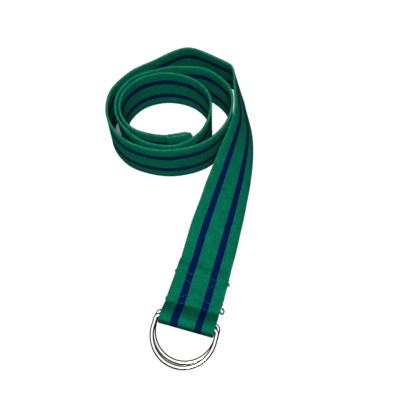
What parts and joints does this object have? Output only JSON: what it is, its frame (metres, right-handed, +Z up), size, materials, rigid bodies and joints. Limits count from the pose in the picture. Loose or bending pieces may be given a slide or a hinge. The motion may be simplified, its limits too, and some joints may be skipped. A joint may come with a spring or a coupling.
{
  "type": "gait belt",
  "caption": "Webbing gait belt with stripes and paired D-rings at one end, stored as a loose coil on edge with the ring end twisted flat.",
  "frame": {"origin": "on the surface the belt lies on, under the middle of its bounding box", "axes": "+Z up along the webbing's width where the coil stands on edge, +Y from the D-rings along the flat tail towards the coil, +X to the right"},
  "size_m": [0.173, 0.3296, 0.0501],
  "materials": {
    "webbing": "woven webbing, green with two navy stripes",
    "thread": "spun polyester sewing thread, green",
    "ring_metal": "polished nickel plate"
  },
  "bodies": {
    "strap": {"strap_tip_hem": "webbing", "strap_inner_turn": "webbing", "strap_middle_turn": "webbing", "strap_outer_turn": "webbing", "strap_far_bend": "webbing", "strap_twist": "webbing", "strap_tail": "webbing", "strap_ring_loop": "webbing", "strap_ring_flap": "webbing", "box_seam_needle_thread": "thread", "box_seam_bobbin_thread": "thread", "hem_seam_needle_thread": "thread", "hem_seam_bobbin_thread": "thread"},
    "lower_ring": {"lower_d_ring": "ring_metal"},
    "upper_ring": {"upper_d_ring": "ring_metal"}
  },
  "joints": [
    {"name": "lower_ring_swing", "type": "hinge", "parent": "strap", "child": "lower_ring", "pos_m": [0.0556, -0.1201, 0.0047], "axis": [1, 0, 0], "range_deg": [0, 155]},
    {"name": "upper_ring_swing", "type": "hinge", "parent": "strap", "child": "upper_ring", "pos_m": [0.0557, -0.125, 0.00895], "axis": [-1, 0, 0], "range_deg": [0, 175]}
  ]
}
